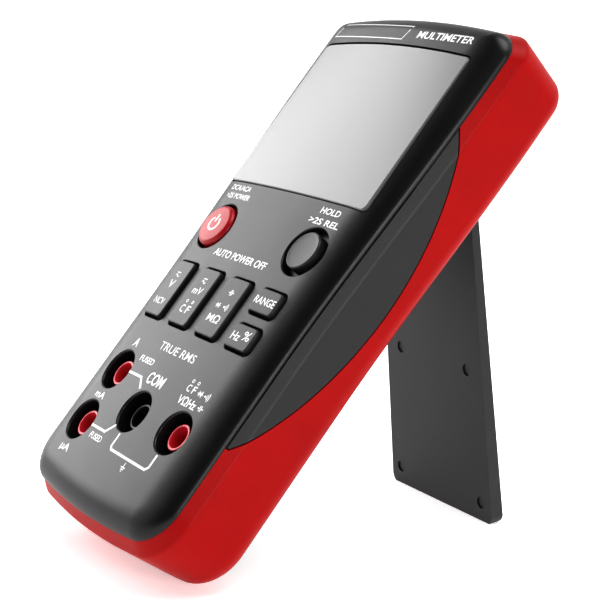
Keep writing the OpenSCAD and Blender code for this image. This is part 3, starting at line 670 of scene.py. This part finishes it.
def bumper_solid():
    rings = skin_rings(0)
    inner_back = grown(BACK_IN, -0.1)
    inner_case = grown(CASE_IN, -FIT_GAP)
    rings.append(level(grown(inner_back, -0.4), BACK_Z))
    rings.append(level(grown(inner_back, -0.1), BACK_Z - 0.12))
    rings.append(level(inner_back, BACK_Z - 0.4))
    rings.append(level(inner_back, LIP_Z))
    rings.append(level(inner_case, LIP_Z))
    rings.append(seam_level(inner_case, SEAM_Z + SEAM_GAP))
    return ring_solid("bumper", rings, closed=True)


def skin_solid(cut):
    return ring_solid("skin", skin_rings(cut))


def lens(gap):
    """Lens shape of a grip, seen from the side."""
    r = GRIP_ARC_R - gap
    cy, cz = GRIP_MID_Y, GRIP_ARC_R - GRIP_FLOOR_Z
    y0, y1 = GRIP_Y[0] + gap, GRIP_Y[1] - gap
    n = 72
    ys = [mix(y0, y1, i / n) for i in range(n + 1)]
    points = [(y, cz - math.sqrt(r * r - (y - cy) ** 2)) for y in ys]
    return points + [(y1, LENS_TOP_Z), (y0, LENS_TOP_Z)]


def lens_prism(side, gap):
    """The lens shape drawn out sideways, from inside the case to well outside it."""
    return ring_solid("prism", [[(side * x, y, z) for y, z in lens(gap)] for x in (20, 60)])


def under_plane():
    """Everything under the surface that the meter stands on, in the meter's frame."""
    bm = bmesh.new()
    bmesh.ops.create_cube(bm, size=1)
    bm.transform(Matrix.Translation((0, 0, -0.05)) @ Matrix.Diagonal((0.4, 0.6, 0.1, 1)))
    bm.transform(TO_METER)
    return object_from(bm, "ground")


bumper = boolean(bumper_solid(), under_plane())
for side, name in ((-1, "left"), (1, "right")):
    pocket = boolean(lens_prism(side, 0), skin_solid(GRIP_DEPTH))
    bumper = boolean(bumper, pocket)
    grip = boolean(skin_solid(0), lens_prism(side, GRIP_GAP), "INTERSECT")
    grip = boolean(grip, skin_solid(GRIP_DEPTH - FIT_GAP))
    inner = grown(CASE_IN, -FIT_GAP)
    grip = boolean(grip, ring_solid("case", [level(inner, LIP_Z), level(inner, -1)]))
    beyond = (-1, -1, -1)
    above = [seam_level(beyond, SEAM_Z + GRIP_LIP), level(beyond, -5)]
    grip = boolean(grip, ring_solid("above", above))
    piece(
        grip, "grip_pad_" + name, MATERIALS["grip_grey"],
        "meter_body", ["grip_" + name], sharp=RUBBER_EDGE,
    )
piece(
    bumper, "bumper_shell", MATERIALS["bumper_red"],
    "meter_body", ["bumper"], sharp=RUBBER_EDGE,
)

# ---- keys ----


def key_profile(shape, proud, x_at, edge_r):
    """Rings of a key from the end of its stem up to its cap."""
    def ring(grow, z, follow=0.0):
        return [(x, y, z + follow * (crown(x + x_at) - crown(x_at))) for x, y in shape(grow)]

    def stem(z):
        points = shape(0)
        return [(STEM_R * x / math.hypot(x, y), STEM_R * y / math.hypot(x, y), z) for x, y in points]

    top = crown(x_at) + proud
    flange = CAP_GAP + FLANGE_W
    rings = [stem(-STEM_Z), stem(-FLANGE_Z - FLANGE_T)]
    rings += [ring(flange, -FLANGE_Z - FLANGE_T), ring(flange, -FLANGE_Z)]
    rings += [ring(0, -FLANGE_Z), ring(0, top - edge_r, 1)]
    for i in range(1, 6):
        a = math.radians(18 * i)
        rings.append(ring(-edge_r * (1 - math.cos(a)), top - edge_r + edge_r * math.sin(a), 1))
    for t in (0.08, 0.3, 0.55, 0.8):
        inner = [(x * (1 - t), y * (1 - t)) for x, y in shape(-edge_r)]
        rings.append([(x, y, top + crown(x + x_at) - crown(x_at)) for x, y in inner])
    return rings


def place_key(rings, x_at, y_at, name, material):
    moved = [[(x + x_at, y + y_at, z) for x, y, z in ring] for ring in rings]
    return piece(ring_solid("key", moved), name + "_cap", material, name + "_key",
                 [name + "_button"], sharp=MOULDED_EDGE)


for name, (x, y, h) in KEYS.items():
    w = KEY_W - 2 * CAP_GAP
    shape = key_shape(w, h - 2 * CAP_GAP, KEY_CORNER_R - 0.5)
    rings = key_profile(shape, CAP_PROUD, x, KEY_EDGE_R)
    place_key(rings, x, y, name, MATERIALS["key_grey"])


def round_key(name, profile, material):
    """Turned cap on a flange and a stem. profile is (radius, height over the face) from the rim in."""
    x_at, y_at = ROUND_KEYS[name]
    base = crown(x_at)
    steps = [(STEM_R, -STEM_Z), (STEM_R, -FLANGE_Z - FLANGE_T)]
    steps += [(ROUND_HOLE_R + FLANGE_W, -FLANGE_Z - FLANGE_T), (ROUND_HOLE_R + FLANGE_W, -FLANGE_Z)]
    steps += [(profile[0][0], -FLANGE_Z)] + [(r, base + z) for r, z in profile]
    rings = [[(x, y, z) for x, y in circle(r, 96)] for r, z in steps]
    place_key(rings, x_at, y_at, name, material)


def rim_arc(r, top, edge_r, steps=6):
    turns = [math.radians(90 * i / steps) for i in range(steps + 1)]
    return [(r - edge_r * (1 - math.cos(a)), top - edge_r + edge_r * math.sin(a)) for a in turns]


hold_profile = rim_arc(HOLD_CAP_R, HOLD_PROUD, 0.5)
hold_profile += [
    (HOLD_CAP_R * t, HOLD_PROUD - HOLD_DISH * (1 - t * t)) for t in (0.88, 0.7, 0.5, 0.3, 0.1)
]
round_key("hold", hold_profile, MATERIALS["key_grey"])


def power_dome(r):
    """Height of the power key's domed top over the face, at a radius."""
    return POWER_PROUD - POWER_DOME * (r / (POWER_DOME_R * POWER_CAP_R)) ** 2


power_profile = rim_arc(POWER_CAP_R, POWER_PROUD - POWER_DOME, 1.5, 10)
power_profile += [(POWER_CAP_R * t, power_dome(POWER_CAP_R * t)) for t in (0.68, 0.55, 0.4, 0.25, 0.1)]
round_key("power", power_profile, MATERIALS["power_red"])

# ---- printed legends ----

# Height of the ink over its surface, and how deep its foot is sunk under it.
INK = 0.03
INK_FOOT = -2 * INK
WORD_WEIGHT = 0.020
THIN_WORD_WEIGHT = 0.004
KEY_WORD_WEIGHT = 0.012
FINE_LINE = 0.3
LINE = 0.36


def word_mesh(bm, text, x0, x1, y, h, weight=WORD_WEIGHT):
    """Adds a word that spans x0 to x1, with its foot at y and its height h."""
    curve = bpy.data.curves.new("word", "FONT")
    curve.body = text
    curve.offset = weight
    curve.extrude = 0.01
    curve.resolution_u = 3
    holder = bpy.data.objects.new("word", curve)
    scene.collection.objects.link(holder)
    bpy.context.view_layer.update()
    mesh = bpy.data.meshes.new_from_object(holder.evaluated_get(bpy.context.evaluated_depsgraph_get()))
    bpy.data.objects.remove(holder)
    xs = [v.co.x for v in mesh.vertices]
    ys = [v.co.y for v in mesh.vertices]
    for v in mesh.vertices:
        v.co.x = mix(x0, x1, (v.co.x - min(xs)) / (max(xs) - min(xs)))
        v.co.y = y + h * (v.co.y - min(ys)) / (max(ys) - min(ys))
        v.co.z = INK if v.co.z > 0 else INK_FOOT
    bm.from_mesh(mesh)
    bpy.data.meshes.remove(mesh)


def stroke(bm, points, width=0.45, closed=False):
    """Adds a flat line of even width through a list of points."""
    pts = []
    ends = list(points) + ([points[0]] if closed else [])
    for a, b in zip(ends, ends[1:]):
        parts = max(1, round(math.dist(a, b) / 2))
        pts += [Vector(a).lerp(Vector(b), k / parts) for k in range(parts)]
    if not closed:
        pts.append(Vector(ends[-1]))
    n = len(pts)
    rows = []
    for i, p in enumerate(pts):
        before = pts[(i - 1) % n] if closed or i else None
        after = pts[(i + 1) % n] if closed or i < n - 1 else None
        d0 = (p - before).normalized() if before else None
        d1 = (after - p).normalized() if after else None
        along = ((d0 or d1) + (d1 or d0)).normalized()
        side = Vector((-along.y, along.x))
        straight = max(0.35, abs(side.dot(Vector((-(d1 or d0).y, (d1 or d0).x)))))
        reach = side * width / 2 / straight
        corners = ((p + reach, INK), (p - reach, INK), (p - reach, INK_FOOT), (p + reach, INK_FOOT))
        rows.append([bm.verts.new((c.x, c.y, z)) for c, z in corners])
    pairs = list(zip(rows, rows[1:])) + ([(rows[-1], rows[0])] if closed else [])
    for a, b in pairs:
        for i in range(4):
            j = (i + 1) % 4
            bm.faces.new((a[i], a[j], b[j], b[i]))
    if not closed:
        bm.faces.new(rows[0])
        bm.faces.new(rows[-1][::-1])


def ink_disc(bm, cx, cy, r):
    stroke(bm, [(cx + r / 2 * x, cy + r / 2 * y) for x, y in circle(1, 12)], r, closed=True)


def ring_mark(bm, cx, cy, r=0.45, width=0.28):
    stroke(bm, [(cx + x, cy + y) for x, y in circle(r, 16)], width, closed=True)


def diode_mark(bm, cx, cy, w=2.4):
    """A line through a triangle that points at a bar."""
    bar_x, base_x, half = cx + 0.25 * w, cx - 0.2 * w, 0.14 * w
    stroke(bm, [(cx - w / 2, cy), (cx + w / 2, cy)], FINE_LINE)
    stroke(bm, [(bar_x, cy - 0.35 * w), (bar_x, cy + 0.35 * w)], 0.4)
    stroke(bm, [(base_x, cy - half), (base_x, cy + half), (cx + 0.06 * w, cy)], 0.6, closed=True)


def capacitor_mark(bm, cx, cy, w=2.6):
    """Two plates with a lead on each."""
    for side in (-1, 1):
        plate_x = cx + side * 0.13 * w
        stroke(bm, [(plate_x, cy - 0.35 * w), (plate_x, cy + 0.35 * w)], LINE)
        stroke(bm, [(plate_x, cy), (cx + side * 0.5 * w, cy)], LINE)


def sound_mark(bm, cx, cy, w=2.4):
    """A dot with three arcs that spread from it."""
    dot_x = cx - 0.45 * w
    ink_disc(bm, dot_x, cy, 0.35)
    for r in (0.3, 0.55, 0.8):
        stroke(bm, arc_points(dot_x, cy, r * w, -38, 38, 6), FINE_LINE)


def supply_mark(bm, cx, cy, w=2.2):
    """A wave under a straight line: alternating and direct."""
    stroke(bm, [(cx - w / 2, cy + 0.75), (cx + w / 2, cy + 0.75)], LINE)
    turns = [t / 12 for t in range(13)]
    wave = [(cx + w * (t - 0.5), cy - 0.35 + 0.4 * math.sin(2 * math.pi * t)) for t in turns]
    stroke(bm, wave, LINE)


def ground_mark(bm, cx, cy):
    """A short lead over three bars, each narrower than the last."""
    stroke(bm, [(cx, cy + 1.5), (cx, cy)], LINE)
    for k, half in enumerate((1.1, 0.7, 0.3)):
        stroke(bm, [(cx - half, cy - 0.6 * k), (cx + half, cy - 0.6 * k)], LINE)


def printed(bm, name, body, height):
    """Lays a drawing of ink on a surface whose height is given, and fixes it to a body."""
    for v in bm.verts:
        v.co.z += height(v.co.x, v.co.y)
    bmesh.ops.recalc_face_normals(bm, faces=bm.faces)
    return piece(object_from(bm, name), name, MATERIALS["legend_white"], body)


# Words on the face: text, left end, right end, foot and height, in millimetres.
FACE_WORDS = (
    ("MULTIMETER", 8, 33, 169.2, 2.6),
    ("DCA/ACA", -31.7, -20, 108.2, 1.9),
    (">2S POWER", -31.7, -17.5, 105.2, 1.9),
    ("HOLD", 19.5, 28.5, 107.4, 2.1),
    (">2S REL", 17, 31, 103.8, 2.1),
    ("AUTO POWER OFF", -16, 13, 85.8, 2.5),
    ("A", -24.2, -21.2, 50.8, 3.0),
    ("mA", -25.2, -19.4, 32.5, 2.3),
    ("\u00b5A", -24.2, -18.6, 13.8, 3.0),
    ("COM", -4.6, 4.6, 42.6, 3.8),
    ("FUSED", -15, -6.6, 47.7, 2.0),
    ("FUSED", -13, -5.6, 21.3, 2.0),
    ("C", 15.7, 17.5, 45.6, 2.3),
    ("F", 18.6, 20.2, 45.6, 2.3),
    ("V\u03a9Hz", 15.2, 24.4, 41.6, 2.8),
)
face_ink = bmesh.new()
for word in FACE_WORDS:
    word_mesh(face_ink, *word)
word_mesh(face_ink, "TRUE RMS", -9.5, 11, 53.1, 2.7, weight=THIN_WORD_WEIGHT)
for x in (16.6, 19.4):
    ring_mark(face_ink, x, 49)
diode_mark(face_ink, 22.8, 46.6, 2.6)
sound_mark(face_ink, 26.4, 46.6, 2.6)
capacitor_mark(face_ink, 26.7, 43)
ground_mark(face_ink, 12.4, 19)
JACK_LINKS = (
    [(-15.8, 43.5), (-7.8, 43.5), (-4.6, 40.3)],
    [(-15.6, 24.9), (-6.8, 24.9), (-3.6, 28.1)],
    [(0.9, 26.6), (0.9, 22.4), (1.8, 21.5), (21.6, 21.5), (22.7, 22.6), (22.7, 26.6)],
)
for link in JACK_LINKS:
    stroke(face_ink, link, 0.8)
BLANK_PLATE = [(-35, 168.4), (1.6, 168.4), (3.4, 173.4), (-33, 173.4)]
stroke(face_ink, BLANK_PLATE, 0.35, closed=True)
printed(face_ink, "face_legends", "meter_body", face_height)


def cap_top(x, y):
    return crown(x) + CAP_PROUD


KEY_WORDS = {
    "volts": (("V", -25.9, -22.9, 71.2, 2.8), ("NCV", -27.6, -21.6, 65.4, 2.3)),
    "millivolts": (
        ("mV", -10.8, -5.6, 72, 2.4),
        ("C", -10.7, -8.7, 65.4, 2.6),
        ("F", -7.3, -5.5, 65.4, 2.6),
    ),
    "ohms": (("M\u03a9", 4.9, 11.2, 66, 2.6),),
    "range": (("RANGE", 19.6, 29.2, 75.9, 2.4),),
    "hertz": (("Hz", 20.4, 24.4, 63.8, 2.6), ("%", 25.3, 28.6, 64.6, 2.9)),
}
for name, words in KEY_WORDS.items():
    ink = bmesh.new()
    for word in words:
        word_mesh(ink, *word, weight=KEY_WORD_WEIGHT)
    if name == "volts":
        supply_mark(ink, -24.4, 76)
    if name == "millivolts":
        supply_mark(ink, -8.2, 76.6)
        ring_mark(ink, -9.7, 69.3)
        ring_mark(ink, -6.4, 69.3)
    if name == "ohms":
        capacitor_mark(ink, 8.2, 76)
        diode_mark(ink, 6, 71.4)
        sound_mark(ink, 10.2, 71.4)
    printed(ink, name + "_legend", name + "_key", cap_top)

power_ink = bmesh.new()
px, py = ROUND_KEYS["power"]
stroke(power_ink, [(px + x, py + y) for x, y in arc_points(0, 0, 2.3, 125, 415, 30)], 0.75)
stroke(power_ink, [(px, py + 0.6), (px, py + 3.3)], 0.75)
printed(
    power_ink, "power_legend", "power_key",
    lambda x, y: crown(px) + power_dome(math.hypot(x - px, y - py)),
)

# ---- jack collars ----


def turned(profile, cx, cy, n=72):
    """A closed turned solid: profile is a loop of (radius, height)."""
    rings = [[(cx + x, cy + y, z) for x, y in circle(r, n)] for r, z in profile]
    return ring_solid("turned", rings, closed=True)


for name, (x, y) in JACKS.items():
    slot = "jack_black" if name == "com" else "jack_red"
    top = -COLLAR_TOP_Z
    profile = [
        (COLLAR_R, COLLAR_BASE_Z), (COLLAR_R, top - 0.2), (COLLAR_R - 0.06, top - 0.06),
        (COLLAR_R - 0.2, top), (COLLAR_MOUTH_R + 0.19, top), (COLLAR_MOUTH_R + 0.06, top - 0.05),
        (COLLAR_MOUTH_R, top - 0.2), (COLLAR_BORE_R, top - 1.6), (COLLAR_BORE_R, -WELL_Z),
        (WELL_R - 0.1, -WELL_Z), (WELL_R - 0.1, COLLAR_BASE_Z),
    ]
    piece(
        turned(profile, x, y), "collar_" + name, MATERIALS[slot],
        "meter_body", ["jack_collar_" + name], sharp=MOULDED_EDGE,
    )

# ---- tilt stand, back and battery door ----

piece(
    rounded_copy("tilt_stand", STAND_EDGE_R), "stand_leg", MATERIALS["stand_black"],
    "stand", ["tilt_stand"],
)
piece(
    rounded_copy("battery_door", DOOR_EDGE_R), "battery_cover", MATERIALS["case_black"],
    "meter_body", ["battery_door"],
)

# ---- camera, floor and light ----

CAMERA_AT = Vector((0.37676, -0.23931, 0.15775))
CAMERA_LOOK = Vector((-0.8248, 0.5321, -0.1914))
CAMERA_UP = Vector((-0.1839, 0.0675, 0.9806))
camera_data = bpy.data.cameras.new("camera")
camera_data.lens = 92.89
camera_data.sensor_width = 36
camera = bpy.data.objects.new("camera", camera_data)
look = CAMERA_LOOK.normalized()
right = look.cross(CAMERA_UP).normalized()
up = right.cross(look)
camera.matrix_world = Matrix.Translation(CAMERA_AT) @ Matrix((right, up, -look)).transposed().to_4x4()
scene.collection.objects.link(camera)
scene.camera = camera


STAGE_GLOW = 0.52
WORLD_GLOW = 0.06


def backdrop():
    """A pale floor that sweeps up into a wall on the far side of the object."""
    reach, bend, height = 2.6, 0.8, 3.4
    facing = math.atan2(CAMERA_LOOK.y, CAMERA_LOOK.x)
    profile = [(0.001, 0.0), (0.9, 0.0), (reach - bend, 0.0)]
    bends = [math.radians(9 * i) for i in range(1, 11)]
    profile += [(reach - bend + bend * math.sin(a), bend * (1 - math.cos(a))) for a in bends]
    profile.append((reach, height))
    bm = bmesh.new()
    rows = []
    for turn in range(0, 360, 5):
        angle = facing + math.radians(turn)
        c, s = math.cos(angle), math.sin(angle)
        rise = ease((125 - min(turn, 360 - turn)) / 30)
        rows.append([bm.verts.new((r * c, r * s, z * rise)) for r, z in profile])
    for row, nxt in zip(rows, rows[1:] + rows[:1]):
        for i in range(len(profile) - 1):
            bm.faces.new((row[i], nxt[i], nxt[i + 1], row[i + 1]))
    bm.faces.new([row[0] for row in rows])
    bmesh.ops.recalc_face_normals(bm, faces=bm.faces)
    for face in bm.faces:
        face.smooth = True
    return object_from(bm, "backdrop")


stage = backdrop()
stage_mat = plastic("stage_pale", (0.9, 0.9, 0.9), rough=0.9, grain=0.0, mottle=0.004, specular=0.0)
stage_bsdf = stage_mat.node_tree.nodes["Principled BSDF"]
stage_bsdf.inputs["Emission Color"].default_value = (1, 1, 1, 1)
stage_bsdf.inputs["Emission Strength"].default_value = STAGE_GLOW
stage.data.materials.append(stage_mat)


def area_light(name, position, target, size, power):
    """A square softbox: its side in metres, its power in watts."""
    data = bpy.data.lights.new(name, "AREA")
    data.shape = "RECTANGLE"
    data.size = size
    data.size_y = size
    data.energy = power
    light = bpy.data.objects.new(name, data)
    place = Vector(position)
    aim = (Vector(target) - place).to_track_quat("-Z", "Y")
    light.matrix_world = Matrix.Translation(place) @ aim.to_matrix().to_4x4()
    scene.collection.objects.link(light)
    return light


MIDDLE = (0, 0, 0.08)
area_light("left_softbox", (-1.1, -0.45, 0.62), MIDDLE, 0.9, 11)
area_light("top_softbox", (0.35, 0.35, 1.5), MIDDLE, 1.0, 18)
area_light("right_softbox", (1.26, 0.0, 0.36), MIDDLE, 0.4, 7)

world = bpy.data.worlds.new("studio")
world.use_nodes = True
background = world.node_tree.nodes["Background"]
background.inputs["Color"].default_value = (1, 1, 1, 1)
background.inputs["Strength"].default_value = WORLD_GLOW
scene.world = world
scene.view_settings.view_transform = "Standard"
scene.view_settings.gamma = 0.72
